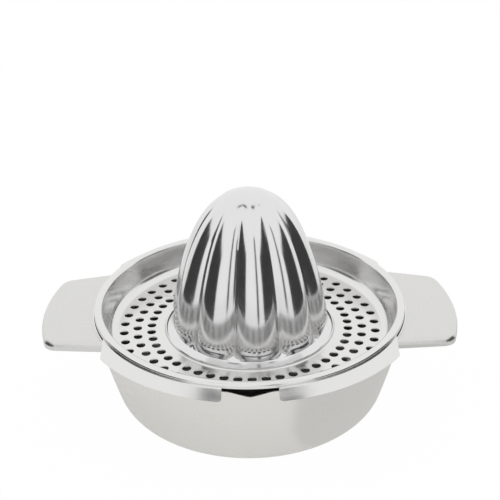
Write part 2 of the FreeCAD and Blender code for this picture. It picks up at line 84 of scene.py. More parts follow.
class Side(Enum):
    """Which side of the bowl a handle is on, with its heading in degrees."""

    RIGHT = 0.0
    LEFT = 180.0


class Grain(Enum):
    """How the polishing marks run on a finish."""

    ROUND = "round"
    STRAIGHT = "straight"


def arc(start: Point, end: Point, radius: float, side: int, steps: int) -> list[Point]:
    """Points of an arc between two points.

    Args:
        start: First point.
        end: Last point.
        radius: Radius of the arc.
        side: +1 where the centre is left of the run, -1 where it is right.
        steps: How many equal turns the arc is drawn in.

    Returns:
        The points after the start, up to and with the end.
    """
    chord = Vector(end) - Vector(start)
    left = Vector((-chord.y, chord.x)).normalized()
    rise = math.sqrt(max(radius**2 - (chord.length / 2.0) ** 2, 0.0))
    centre = (Vector(start) + Vector(end)) * 0.5 + left * (rise * side)
    first = Vector(start) - centre
    turn = 2.0 * math.asin(min(chord.length / (2.0 * radius), 1.0)) * side
    points = []
    for step in range(1, steps + 1):
        angle = turn * step / steps
        cosine, sine = math.cos(angle), math.sin(angle)
        points.append((
            centre.x + first.x * cosine - first.y * sine,
            centre.y + first.x * sine + first.y * cosine,
        ))
    return points


def line(start: Point, end: Point, steps: int) -> list[Point]:
    """Points of a straight run, after the start and up to the end.

    Args:
        start: First point.
        end: Last point.
        steps: How many equal steps the run is drawn in.

    Returns:
        The points after the start.
    """
    return [
        (
            start[0] + (end[0] - start[0]) * step / steps,
            start[1] + (end[1] - start[1]) * step / steps,
        )
        for step in range(1, steps + 1)
    ]


def spun(profile: Sequence[Point], steps: int) -> bmesh.types.BMesh:
    """Surface of revolution about the upright axis.

    Args:
        profile: Radius and height of each point, in millimetres.
        steps: How many equal turns the full circle is made in.

    Returns:
        A bmesh in millimetres with doubles on the axis merged.
    """
    mesh = bmesh.new()
    verts = [mesh.verts.new((radius, 0.0, height)) for radius, height in profile]
    edges = [mesh.edges.new(pair) for pair in zip(verts, verts[1:])]
    bmesh.ops.spin(
        mesh, geom=verts + edges, cent=(0.0, 0.0, 0.0), axis=(0.0, 0.0, 1.0),
        angle=2.0 * math.pi, steps=steps, use_merge=True,
    )
    bmesh.ops.remove_doubles(mesh, verts=mesh.verts, dist=MERGE_DISTANCE)
    return mesh


def face_outwards(mesh: bmesh.types.BMesh, point: Vector) -> None:
    """Turn every face of an open sheet so that the first one looks at a point.

    Args:
        mesh: The sheet.
        point: A point on the side that the faces are to look at.
    """
    bmesh.ops.recalc_face_normals(mesh, faces=mesh.faces)
    nearest = min(mesh.faces, key=lambda face: (face.calc_center_median() - point).length)
    if nearest.normal.dot(point - nearest.calc_center_median()) < 0.0:
        bmesh.ops.reverse_faces(mesh, faces=mesh.faces)


def thicken(mesh: bmesh.types.BMesh, gauge: float) -> None:
    """Give an open sheet its thickness, behind the side that its faces look to.

    Args:
        mesh: The sheet, in millimetres.
        gauge: Thickness of the sheet.
    """
    bmesh.ops.solidify(mesh, geom=mesh.faces[:], thickness=gauge)
    bmesh.ops.recalc_face_normals(mesh, faces=mesh.faces)


def prism(outline: Sequence[Point], low: float, high: float) -> bmesh.types.BMesh:
    """Closed prism on a plan outline.

    Args:
        outline: Corners of the plan, in millimetres.
        low: Height of the foot.
        high: Height of the top.

    Returns:
        A bmesh in millimetres.
    """
    mesh = bmesh.new()
    face = mesh.faces.new([mesh.verts.new((x, y, low)) for x, y in outline])
    pulled = bmesh.ops.extrude_face_region(mesh, geom=[face])["geom"]
    moved = [thing for thing in pulled if isinstance(thing, bmesh.types.BMVert)]
    bmesh.ops.translate(mesh, verts=moved, vec=(0.0, 0.0, high - low))
    bmesh.ops.recalc_face_normals(mesh, faces=mesh.faces)
    return mesh


def join(mesh: bmesh.types.BMesh, other: bmesh.types.BMesh) -> None:
    """Add another bmesh to the first one and free it.

    Args:
        mesh: The bmesh that grows.
        other: The bmesh that is added.
    """
    data = bpy.data.meshes.new("joined")
    other.to_mesh(data)
    other.free()
    mesh.from_mesh(data)
    bpy.data.meshes.remove(data)


def make_object(name: str, mesh: bmesh.types.BMesh) -> bpy.types.Object:
    """Write a bmesh in millimetres into a new object in metres.

    Args:
        name: Name of the object.
        mesh: The bmesh, which is freed.

    Returns:
        The object, at the origin and unscaled.
    """
    bmesh.ops.scale(mesh, vec=(MM, MM, MM), verts=mesh.verts)
    data = bpy.data.meshes.new(name)
    mesh.to_mesh(data)
    mesh.free()
    thing = bpy.data.objects.new(name, data)
    bpy.context.scene.collection.objects.link(thing)
    return thing


def cut(thing: bpy.types.Object, cutter: bmesh.types.BMesh, join_instead: bool = False) -> None:
    """Take a cutter away from an object's mesh, or join it on.

    Args:
        thing: The object whose mesh changes.
        cutter: Closed bmesh in millimetres, which is freed.
        join_instead: True to unite the two.
    """
    tool = make_object(thing.name + "_cutter", cutter)
    step = thing.modifiers.new("cut", "BOOLEAN")
    step.operation = "UNION" if join_instead else "DIFFERENCE"
    step.solver = "MANIFOLD"
    step.object = tool
    graph = bpy.context.evaluated_depsgraph_get()
    data = bpy.data.meshes.new_from_object(thing.evaluated_get(graph))
    thing.modifiers.clear()
    old = thing.data
    thing.data = data
    bpy.data.meshes.remove(old)
    tool_data = tool.data
    bpy.data.objects.remove(tool)
    bpy.data.meshes.remove(tool_data)


def smooth(thing: bpy.types.Object, limit: float) -> None:
    """Shade smoothly but for edges sharper than a limit.

    Args:
        thing: The object.
        limit: Angle between faces, in degrees, from which an edge stays sharp.
    """
    mesh = bmesh.new()
    mesh.from_mesh(thing.data)
    for face in mesh.faces:
        face.smooth = True
    for edge in mesh.edges:
        sharp = len(edge.link_faces) == 2 and edge.calc_face_angle(0.0) > math.radians(limit)
        edge.smooth = not sharp
    mesh.to_mesh(thing.data)
    mesh.free()


def calculate(
    tree: bpy.types.NodeTree,
    operation: str,
    first: bpy.types.NodeSocket,
    second: bpy.types.NodeSocket | float,
) -> bpy.types.NodeSocket:
    """Add a sum to a material.

    Args:
        tree: The material's nodes.
        operation: Name of the operation.
        first: Socket of the first value.
        second: Socket of the second value, or the value itself.

    Returns:
        The socket with the result.
    """
    made = tree.nodes.new("ShaderNodeMath")
    made.operation = operation
    tree.links.new(first, made.inputs[0])
    if isinstance(second, float):
        made.inputs[1].default_value = second
    else:
        tree.links.new(second, made.inputs[1])
    return made.outputs["Value"]


def combine(tree: bpy.types.NodeTree, **parts: bpy.types.NodeSocket) -> bpy.types.NodeSocket:
    """Add a vector made of sockets to a material.

    Args:
        tree: The material's nodes.
        parts: Socket of each part by its axis, x, y or z. The others stay 0.

    Returns:
        The socket with the vector.
    """
    made = tree.nodes.new("ShaderNodeCombineXYZ")
    for axis, part in parts.items():
        tree.links.new(part, made.inputs[axis.upper()])
    return made.outputs["Vector"]


def noise(
    tree: bpy.types.NodeTree, place: bpy.types.NodeSocket, scale: float, detail: float
) -> bpy.types.NodeSocket:
    """Add a noise texture to a material.

    Args:
        tree: The material's nodes.
        place: Socket of the place that the noise is read at.
        scale: Scale of the noise.
        detail: How many finer layers it has.

    Returns:
        The socket with the noise.
    """
    made = tree.nodes.new("ShaderNodeTexNoise")
    made.inputs["Scale"].default_value = scale
    made.inputs["Detail"].default_value = detail
    tree.links.new(place, made.inputs["Vector"])
    return made.outputs["Fac"]


@dataclass(frozen=True)
class Steel:
    """A stainless steel finish, made as a procedural material."""

    name: str
    tint: tuple[float, float, float]
    roughness: float
    grain: Grain
    grain_width: float = 0.0025
    smudge: float = 0.03
    streak: float = 0.012
    waviness: float = 0.0

    def shade(self, share: float) -> tuple[float, float, float, float]:
        """Tint made brighter or darker.

        Args:
            share: How much brighter, as a share of the tint.

        Returns:
            The colour.
        """
        red, green, blue = (part * (1.0 + share) for part in self.tint)
        return red, green, blue, 1.0

    def build(self) -> bpy.types.Material:
        """Make the material.

        Returns:
            A new material of this finish.
        """
        material = bpy.data.materials.new(self.name)
        material.use_nodes = True
        tree = material.node_tree
        nodes, links = tree.nodes, tree.links
        shader = nodes["Principled BSDF"]
        shader.inputs["Metallic"].default_value = 1.0
        place = nodes.new("ShaderNodeTexCoord").outputs["Object"]
        cloud = noise(tree, place, CLOUD_SCALE, CLOUD_DETAIL)
        marks = noise(tree, self.along(tree, place), 1.0 / self.grain_width, MARK_DETAIL)

        tone = nodes.new("ShaderNodeMix")
        tone.data_type = "RGBA"
        tone.inputs["A"].default_value = self.shade(-self.streak)
        tone.inputs["B"].default_value = self.shade(self.streak)
        links.new(marks, tone.inputs["Factor"])
        links.new(tone.outputs["Result"], shader.inputs["Base Color"])

        rough = nodes.new("ShaderNodeMapRange")
        rough.inputs["From Min"].default_value = MARK_LOW
        rough.inputs["From Max"].default_value = MARK_HIGH
        rough.inputs["To Min"].default_value = self.roughness - self.smudge
        rough.inputs["To Max"].default_value = self.roughness + self.smudge
        links.new(calculate(tree, "ADD", cloud, marks), rough.inputs["Value"])
        links.new(rough.outputs["Result"], shader.inputs["Roughness"])

        if self.waviness > 0.0:
            wave = nodes.new("ShaderNodeBump")
            wave.inputs["Strength"].default_value = 1.0
            wave.inputs["Distance"].default_value = self.waviness
            links.new(noise(tree, place, WAVE_SCALE, WAVE_DETAIL), wave.inputs["Height"])
            links.new(wave.outputs["Normal"], shader.inputs["Normal"])
        return material

    def along(self, tree: bpy.types.NodeTree, place: bpy.types.NodeSocket) -> bpy.types.NodeSocket:
        """Make the place in which the polishing marks are drawn out.

        Args:
            tree: The material's nodes.
            place: Object coordinates.

        Returns:
            The socket with the place.
        """
        nodes, links = tree.nodes, tree.links
        parts = nodes.new("ShaderNodeSeparateXYZ")
        links.new(place, parts.inputs["Vector"])
        x, y, z = (parts.outputs[axis] for axis in "XYZ")
        if self.grain is Grain.STRAIGHT:
            return combine(tree, x=x, y=calculate(tree, "MULTIPLY", y, STRAIGHT_STRETCH))
        flat = combine(tree, x=x, y=y)
        reach = nodes.new("ShaderNodeVectorMath")
        reach.operation = "LENGTH"
        links.new(flat, reach.inputs[0])
        heading = nodes.new("ShaderNodeVectorMath")
        heading.operation = "NORMALIZE"
        links.new(flat, heading.inputs[0])
        turn = nodes.new("ShaderNodeVectorMath")
        turn.operation = "SCALE"
        turn.inputs["Scale"].default_value = ROUND_STRETCH
        links.new(heading.outputs["Vector"], turn.inputs[0])
        total = nodes.new("ShaderNodeVectorMath")
        total.operation = "ADD"
        links.new(turn.outputs["Vector"], total.inputs[0])
        run = calculate(tree, "ADD", reach.outputs["Value"], z)
        links.new(combine(tree, z=run), total.inputs[1])
        return total.outputs["Vector"]


BOWL_STEEL = Steel("bowl_satin_steel", (0.81, 0.80, 0.765), 0.30, Grain.ROUND)
HANDLE_STEEL = Steel("handle_satin_steel", (0.70, 0.695, 0.68), 0.28, Grain.STRAIGHT)
STRAINER_STEEL = Steel(
    "strainer_bright_steel", (0.775, 0.772, 0.765), 0.20, Grain.ROUND, smudge=0.04,
)
REAMER_STEEL = Steel(
    "reamer_polished_steel", (0.76, 0.758, 0.76), 0.15, Grain.ROUND,
    smudge=0.02, streak=0.01, waviness=0.00004,
)
# Rougher steel for the bowl's inside and the strainer's underside; its dark tint is painted shade
# for the dim inside of the pressings
PAINTED_SHADE_STEEL = Steel("inside_dull_painted_shade_steel", (0.36, 0.35, 0.34), 0.45, Grain.ROUND)


def finish_and_shade_sides(
    thing: bpy.types.Object, shown: Steel, is_hidden: Callable[[Vector, Vector], bool]
) -> None:
    """Give a pressing its finish, with a darker steel as painted shade on its hidden side.

    Args:
        thing: The pressing, in metres.
        shown: Finish of the side that is polished.
        is_hidden: Tells from a face's middle and normal if it gets the painted shade.
    """
    thing.data.materials.clear()
    thing.data.materials.append(shown.build())
    thing.data.materials.append(PAINTED_SHADE_STEEL.build())
    # Faces on the hidden side get the darker steel, a painted shade
    for face in thing.data.polygons:
        face.material_index = 1 if is_hidden(face.center, face.normal) else 0


@dataclass
class Bowl:
    """Round-shouldered bowl with a V-shaped pouring lip at the front."""

    gauge: float = 0.6
    rim_radius: float = 88.9
    height: float = 56.3
    wall_curve: float = 490.0
    wall_foot: Point = (77.6, 10.4)
    shoulder_curve: float = 14.5
    base_radius: float = 63.7
    lip_half_width: float = 10.0
    lip_depth: float = 2.8
    lip_push: float = 0.5
    lip_softness: float = 1.2
    lip_reach: float = 16.0
    lip_span: float = 30.0
    lip_blend: float = 0.25
    envelope_rise: float = 6.0
    turns: int = 480
    envelope_turns: int = 240
    base_steps: int = 12
    shoulder_steps: int = 14
    wall_steps: int = 34
    sharp_angle: float = 40.0
    finish: Steel = BOWL_STEEL

    def wall(self) -> list[Point]:
        """Points of the wall's outside, from its foot up to the rim."""
        rim = (self.rim_radius, self.height)
        return arc(self.wall_foot, rim, self.wall_curve, 1, self.wall_steps)

    def wall_radius(self, height: float) -> float:
        """Outer radius of the wall.

        Args:
            height: Height above the table, at or above the wall's foot.

        Returns:
            The radius, in millimetres.
        """
        points = [self.wall_foot] + self.wall()
        for low, high in zip(points, points[1:]):
            if height <= high[1]:
                share = (height - low[1]) / (high[1] - low[1])
                return low[0] + (high[0] - low[0]) * share
        return points[-1][0]

    def profile(self) -> list[Point]:
        """Outside of the bowl from the middle of its base up to its rim."""
        base = (self.base_radius, 0.0)
        points = [(0.0, 0.0)]
        points += line(points[-1], base, self.base_steps)
        points += arc(base, self.wall_foot, self.shoulder_curve, 1, self.shoulder_steps)
        points += self.wall()
        return points

    def lip_drop(self, across: float) -> float:
        """How far the rim dips at the pouring lip.

        Args:
            across: Distance from the lip's middle, along X.

        Returns:
            The dip, in millimetres.
        """
        slope = self.lip_depth / self.lip_half_width
        away = math.hypot(across, self.lip_softness) - self.lip_softness
        left = self.lip_depth - slope * away
        return (left + math.hypot(left, self.lip_blend)) / 2.0

    def shape_lip(self, mesh: bmesh.types.BMesh) -> None:
        """Press the pouring lip into the rim.

        Args:
            mesh: The bowl's outside, one sheet.
        """
        lip_foot = self.height - self.lip_reach
        for vert in mesh.verts:
            x, y, z = vert.co
            if y > 0.0 or z < lip_foot or abs(x) > self.lip_span:
                continue
            share = (z - lip_foot) / self.lip_reach
            drop = self.lip_drop(x) * share**2
            height = z - drop
            swell = self.lip_push * (drop / self.lip_depth) ** 2
            radius = self.wall_radius(height) + swell
            heading = Vector((x, y)).normalized()
            vert.co = (heading.x * radius, heading.y * radius, height)

    def build(self) -> bpy.types.Object:
        """Make the bowl.

        Returns:
            The bowl's object, riding on its body.
        """
        mesh = spun(self.profile(), self.turns)
        face_outwards(mesh, Vector((2.0 * self.rim_radius, 0.0, self.height / 2.0)))
        self.shape_lip(mesh)
        thicken(mesh, self.gauge)
        thing = make_object("bowl_pressing", mesh)
        smooth(thing, self.sharp_angle)
        finish_and_shade_sides(thing, self.finish, self.is_inside)
        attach(thing, "bowl")
        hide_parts("bowl")
        return thing

    def is_inside(self, middle: Vector, normal: Vector) -> bool:
        """Tell whether a face is on the inside of the bowl.

        Args:
            middle: The face's middle, in metres.
            normal: The face's normal.

        Returns:
            True on the inside, which gets the painted shade.
        """
        outward = normal.x * middle.x + normal.y * middle.y
        on_base = middle.xy.length < self.base_radius * MM
        return normal.z > FACES_UP if on_base else outward < 0.0

    def envelope(self) -> bmesh.types.BMesh:
        """Solid inside of the bowl's outer face, which trims the handles."""
        top = self.height + self.envelope_rise
        points = self.profile() + [(self.rim_radius, top), (0.0, top)]
        mesh = spun(points, self.envelope_turns)
        bmesh.ops.recalc_face_normals(mesh, faces=mesh.faces)
        return mesh


@dataclass
class Handle:
    """Flat pressed handle with a turned-down edge and a weld tab."""

    side: Side
    bowl: Bowl
    gauge: float = 0.8
    root_height: float = 55.5
    droop: float = 3.0
    inner_reach: float = 12.0
    side_reach: float = 22.7
    inner_half_width: float = 41.6
    tip_half_width: float = 36.2
    tip_curve: float = 105.0
    corner_curve: float = 9.0
    lip_depth: float = 5.0
    edge_curve: float = 3.2
    tab_top: float = 55.3
    tab_foot: float = 45.0
    tab_sweep: float = 42.0
    side_steps: int = 4
    corner_steps: int = 12
    tip_steps: int = 28
    edge_steps: int = 8
    tab_steps: int = 28
    sharp_angle: float = 38.0
    finish: Steel = HANDLE_STEEL

    def plan(self) -> list[Point]:
        """Plan outline, with rounded corners at the tip."""
        inner = Vector((-self.inner_reach, -self.inner_half_width))
        outer = Vector((self.side_reach, -self.tip_half_width))
        along = (outer - inner).normalized()
        inward = Vector((-along.y, along.x))
        sag = math.sqrt(self.tip_curve**2 - self.tip_half_width**2)
        middle = Vector((self.side_reach - sag, 0.0))
        start = inner + inward * self.corner_curve - middle
        slope = start.dot(along)
        gap = (self.tip_curve - self.corner_curve) ** 2 - start.length_squared
        reach = -slope + math.sqrt(slope**2 + gap)
        centre = inner + inward * self.corner_curve + along * reach
        leave = inner + along * reach
        meet = middle + (centre - middle) * self.tip_curve / (self.tip_curve - self.corner_curve)
        near = [tuple(spot) for spot in (inner, leave, meet)]
        far = [(x, -y) for x, y in near]
        points = near[:1]
        points += line(near[0], near[1], self.side_steps)
        points += arc(near[1], near[2], self.corner_curve, 1, self.corner_steps)
        points += arc(near[2], far[2], self.tip_curve, 1, self.tip_steps)
        points += arc(far[2], far[1], self.corner_curve, 1, self.corner_steps)
        points += line(far[1], far[0], self.side_steps)
        return points

    def tray(self) -> bmesh.types.BMesh:
        """Plate with its edge turned down, before it is trimmed to the bowl."""
        mesh = prism(self.plan(), -self.lip_depth, 0.0)
        top = [
            edge for edge in mesh.edges
            if all(abs(vert.co.z) < SAME_PLACE for vert in edge.verts)
            and max(vert.co.x for vert in edge.verts) > -self.inner_reach + SAME_PLACE
        ]
        bmesh.ops.bevel(
            mesh, geom=top, offset=self.edge_curve, offset_type="OFFSET", affect="EDGES",
            segments=self.edge_steps, profile=0.5, material=-1, clamp_overlap=False,
        )
        open_faces = [
            face for face in mesh.faces
            if all(abs(vert.co.z + self.lip_depth) < SAME_PLACE for vert in face.verts)
            or all(abs(vert.co.x + self.inner_reach) < SAME_PLACE for vert in face.verts)
        ]
        bmesh.ops.delete(mesh, geom=open_faces, context="FACES")
        bmesh.ops.remove_doubles(mesh, verts=mesh.verts, dist=MERGE_DISTANCE)
        face_outwards(mesh, Vector((self.side_reach / 2.0, 0.0, self.side_reach)))
        thicken(mesh, self.gauge)
        return mesh

    def tab(self) -> bmesh.types.BMesh:
        """Weld tab that hugs the bowl's wall under the handle."""
        low = self.bowl.wall_radius(self.tab_foot)
        high = self.bowl.rim_radius
        mesh = bmesh.new()
        corners = [
            (low - self.gauge, self.tab_foot), (low + self.gauge, self.tab_foot),
            (high + self.gauge, self.tab_top), (high - self.gauge, self.tab_top),
        ]
        face = mesh.faces.new([mesh.verts.new((r, 0.0, z)) for r, z in corners])
        start = Matrix.Rotation(-math.radians(self.tab_sweep) / 2.0, 3, "Z")
        bmesh.ops.rotate(mesh, cent=(0.0, 0.0, 0.0), matrix=start, verts=mesh.verts)
        bmesh.ops.spin(
            mesh, geom=[face], cent=(0.0, 0.0, 0.0), axis=(0.0, 0.0, 1.0),
            angle=math.radians(self.tab_sweep), steps=self.tab_steps,
        )
        bmesh.ops.recalc_face_normals(mesh, faces=mesh.faces)
        return mesh

    def build(self) -> bpy.types.Object:
        """Make the handle.

        Returns:
            The handle's object, riding on its body.
        """
        node = "handle_" + self.side.name.lower()
        mesh = self.tray()
        tilt = Matrix.Rotation(math.radians(self.droop), 3, "Y")
        bmesh.ops.rotate(mesh, cent=(0.0, 0.0, 0.0), matrix=tilt, verts=mesh.verts)
        place = (self.bowl.rim_radius, 0.0, self.root_height)
        bmesh.ops.translate(mesh, verts=mesh.verts, vec=place)
        thing = make_object(node + "_pressing", mesh)
        cut(thing, self.tab(), join_instead=True)
        cut(thing, self.bowl.envelope())
        heading = Matrix.Rotation(math.radians(self.side.value), 4, "Z")
        thing.data.transform(heading)
        smooth(thing, self.sharp_angle)
        thing.data.materials.clear()
        thing.data.materials.append(self.finish.build())
        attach(thing, "bowl")
        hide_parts(node)
        return thing


@dataclass
class HoleRing:
    """One ring of round holes in the strainer's plate."""

    radius: float
    count: int
    phase: float


@dataclass
class Strainer:
    """Perforated dish with a rim land and a skirt cut at the handles and the lip."""

    gauge: float = 0.6
    plate_height: float = 42.5
    collar_radius: float = 48.4
    collar_top: float = 43.9
    collar_curve: float = 0.9
    dish_edge_radius: float = 75.3
    dish_curve: float = 6.2
    wall_lean: float = 10.0
    wall_top: float = 58.8
    bead_inner_curve: float = 1.9
    land_slope: float = 6.0
    land_width: float = 1.6
    bead_outer_curve: float = 1.2
    bead_drop: float = 1.0
    crease_curve: float = 0.6
    skirt_slope: float = 21.6
    skirt_run: float = 7.7
    trim_inset: float = 0.3
    trim_clearance: float = 12.0
    handle_trim_half_width: float = 36.4
    handle_trim_curve: float = 5.0
    lip_trim_half_width: float = 14.4
    lip_trim_curve: float = 2.0
    bead_foot_drop: float = 0.2
    hole_radius: float = 2.0
    hole_flare: float = 1.3625
    hole_sides: int = 24
    overcut: float = 1.01
    turns: int = 360
    sharp_angle: float = 40.0
    rings: tuple[HoleRing, ...] = (
        HoleRing(56.6, 47, 2.9),
        HoleRing(64.6, 43, 6.2),
        HoleRing(72.2, 45, 1.9),
    )
    finish: Steel = STRAINER_STEEL

    def bead(self) -> list[Point]:
        """Ends of the straight runs from the dish's wall to the bead's outer side.

        Returns:
            The wall's foot and top, the land's start and end, and the top and
            the foot of the bead's outer side.
        """
        lean = math.radians(self.wall_lean)
        land = math.radians(self.land_slope)
        wall_foot = (
            self.dish_edge_radius + self.dish_curve * math.cos(lean),
            self.plate_height + self.dish_curve * (1.0 - math.sin(lean)),
        )
        wall_top = (
            wall_foot[0] + (self.wall_top - wall_foot[1]) * math.tan(lean),
            self.wall_top,
        )
        land_start = (
            wall_top[0] + self.bead_inner_curve * (math.cos(lean) + math.sin(land)),
            wall_top[1] + self.bead_inner_curve * (math.cos(land) - math.sin(lean)),
        )
        land_end = (
            land_start[0] + self.land_width * math.cos(land),
            land_start[1] - self.land_width * math.sin(land),
        )
        drop_start = (
            land_end[0] + self.bead_outer_curve * (1.0 - math.sin(land)),
            land_end[1] - self.bead_outer_curve * math.cos(land),
        )
        drop_end = (drop_start[0], drop_start[1] - self.bead_drop)
        return [wall_foot, wall_top, land_start, land_end, drop_start, drop_end]

    def profile(self) -> list[Point]:
        """Upper side from the collar out to the skirt's edge."""
        slope = math.radians(self.skirt_slope)
        plate = self.plate_height
        collar_foot = (self.collar_radius, plate + self.collar_curve)
        plate_start = (self.collar_radius + self.collar_curve, plate)
        plate_end = (self.dish_edge_radius, plate)
        wall_foot, wall_top, land_start, land_end, drop_start, drop_end = self.bead()
        skirt_start = (
            drop_end[0] + self.crease_curve * (1.0 - math.sin(slope)),
            drop_end[1] - self.crease_curve * math.cos(slope),
        )
        skirt_end = (
            skirt_start[0] + self.skirt_run * math.cos(slope),
            skirt_start[1] - self.skirt_run * math.sin(slope),
        )
        points = [(self.collar_radius, self.collar_top)]
        points += line(points[-1], collar_foot, 2)
        points += arc(points[-1], plate_start, self.collar_curve, 1, 6)
        points += line(points[-1], plate_end, 1)
        points += arc(points[-1], wall_foot, self.dish_curve, 1, 12)
        points += line(points[-1], wall_top, 6)
        points += arc(points[-1], land_start, self.bead_inner_curve, -1, 10)
        points += line(points[-1], land_end, 2)
        points += arc(points[-1], drop_start, self.bead_outer_curve, -1, 8)
        points += line(points[-1], drop_end, 2)
        points += arc(points[-1], skirt_start, self.crease_curve, 1, 5)
        points += line(points[-1], skirt_end, 6)
        return points

    def skirt_edge(self) -> float:
        """Radius of the skirt's outer edge."""
        return self.profile()[-1][0]

    def bead_foot(self) -> float:
        """Height below which the skirt is cut back at the handles and the lip."""
        return self.bead()[-1][1] - self.bead_foot_drop

    def trim_radius(self) -> float:
        """Radius, inside the bead's wall, that the skirt is trimmed back to."""
        return self.bead()[-1][0] - self.gauge - self.trim_inset

    def corner(self, across: float, curve: float) -> tuple[float, Point]:
        """Rounded outer corner of the skirt beside a cut.

        Args:
            across: Distance of the rounding's centre from the middle of the cut.
            curve: Radius of the rounding.

        Returns:
            How far along the cut the centre is, and where the rounding meets
            the skirt's edge.
        """
        edge = self.skirt_edge()
        along = math.sqrt((edge - curve) ** 2 - across**2)
        scale = edge / (edge - curve)
        return along, (across * scale, along * scale)

    def lip_trim(self) -> bmesh.types.BMesh:
        """Cutter for the notch over the pouring lip, with rounded corners."""
        half = self.lip_trim_half_width
        curve = self.lip_trim_curve
        radius = self.trim_radius()
        near = -math.sqrt(radius**2 - half**2)
        along, touch = self.corner(half + curve, curve)
        far = -(self.skirt_edge() + self.trim_clearance)
        right = [(half, near), (half, -along)]
        right += arc(right[-1], (touch[0], -touch[1]), curve, 1, 6)
        wide = touch[0] * self.overcut
        right += [(wide, -touch[1] * self.overcut), (wide, far)]
        left = [(-x, y) for x, y in reversed(right)]
        outline = right + left
        outline += arc(left[-1], right[0], radius, 1, 24)[:-1]
        return prism(outline, self.plate_height, self.bead_foot())

    def handle_trim(self, sign: int) -> bmesh.types.BMesh:
        """Cutter for the straight cut beside one handle.

        Args:
            sign: +1 for the handle at +X, -1 for the one at -X.

        Returns:
            The cutter, in millimetres.
        """
        half = self.handle_trim_half_width
        curve = self.handle_trim_curve
        radius = self.trim_radius()
        reach = math.sqrt(radius**2 - half**2)
        along, touch = self.corner(reach - curve, curve)
        far = self.skirt_edge() + self.trim_clearance
        back = [(reach, half), (reach, along)]
        back += arc(back[-1], touch, curve, 1, 10)
        wide = touch[0] * self.overcut
        back += [(wide, touch[1] * self.overcut), (wide, far), (far, far)]
        front = [(x, -y) for x, y in reversed(back)]
        outline = front + arc(front[-1], back[0], radius, 1, 48)[:-1] + back
        outline = [(x * sign, y) for x, y in outline]
        return prism(outline, self.plate_height, self.bead_foot())

    def punches(self) -> bmesh.types.BMesh:
        """Cutters for all the holes, each with a little flare at its top."""
        tool = bmesh.new()
        low = self.plate_height - 3.0 * self.gauge
        high = self.plate_height + self.gauge
        for ring in self.rings:
            for step in range(ring.count):
                angle = math.radians(ring.phase) + 2.0 * math.pi * step / ring.count
                spot = Vector((
                    ring.radius * math.cos(angle), ring.radius * math.sin(angle),
                    (low + high) / 2.0,
                ))
                bmesh.ops.create_cone(
                    tool, cap_ends=True, segments=self.hole_sides, radius1=self.hole_radius,
                    radius2=self.hole_radius * self.hole_flare, depth=high - low,
                    matrix=Matrix.Translation(spot),
                )
        return tool

    def is_underneath(self, middle: Vector, normal: Vector) -> bool:
        """Tell whether a face is on the strainer's underside.

        Args:
            middle: The face's middle, in metres.
            normal: The face's normal.

        Returns:
            True underneath the plate, behind the dish's wall and under the skirt, where the painted
            shade goes.
        """
        outward = normal.x * middle.x + normal.y * middle.y
        reach = middle.xy.length
        in_wall = self.dish_edge_radius * MM < reach < self.trim_radius() * MM
        behind_wall = in_wall and outward > FACES_OUT * reach
        return normal.z < -FACES_UP or (behind_wall and middle.z < self.wall_top * MM)

    def build(self) -> bpy.types.Object:
        """Make the strainer.

        Returns:
            The strainer's object, riding on its body.
        """
        mesh = spun(self.profile(), self.turns)
        face_outwards(mesh, Vector((self.dish_edge_radius, 0.0, 2.0 * self.wall_top)))
        thicken(mesh, self.gauge)
        thing = make_object("strainer_pressing", mesh)
        cutter = self.lip_trim()
        join(cutter, self.handle_trim(1))
        join(cutter, self.handle_trim(-1))
        bmesh.ops.recalc_face_normals(cutter, faces=cutter.faces)
        join(cutter, self.punches())
        cut(thing, cutter)
        smooth(thing, self.sharp_angle)
        finish_and_shade_sides(thing, self.finish, self.is_underneath)
        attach(thing, "strainer")
        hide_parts("strainer")
        return thing


